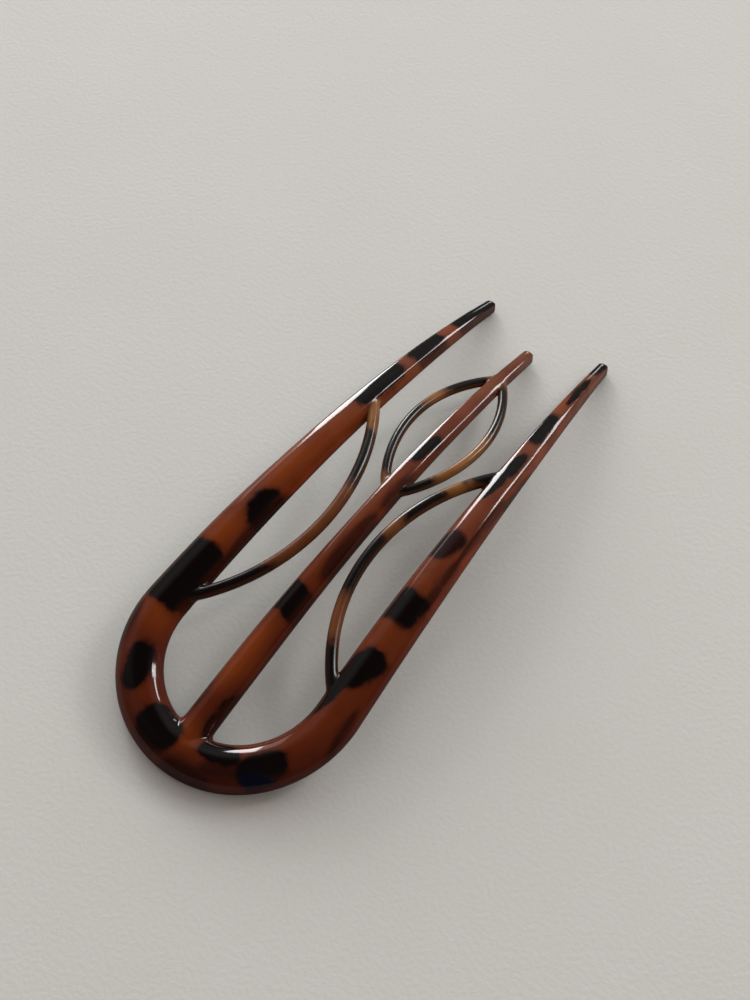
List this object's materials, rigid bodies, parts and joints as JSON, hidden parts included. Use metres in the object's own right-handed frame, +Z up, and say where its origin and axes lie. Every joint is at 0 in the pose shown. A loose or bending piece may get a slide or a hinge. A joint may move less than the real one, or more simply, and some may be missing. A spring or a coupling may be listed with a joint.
{
  "type": "hair fork",
  "caption": "Curved hair fork in tortoiseshell plastic, with tapered side prongs, a middle prong, a thin arch inside each side and a pointed loop near the tip.",
  "frame": {"origin": "centre of the fork's outline, on the surface that it lies on", "axes": "+X across the prongs, +Y from the bend towards the tips, +Z up from the surface, out of the fork's bulging face"},
  "size_m": [0.047, 0.1196, 0.0119],
  "materials": {
    "tortoiseshell": "polished tortoiseshell acetate, amber brown with near-black patches"
  },
  "bodies": {
    "root": {"fork": "tortoiseshell"}
  },
  "joints": []
}
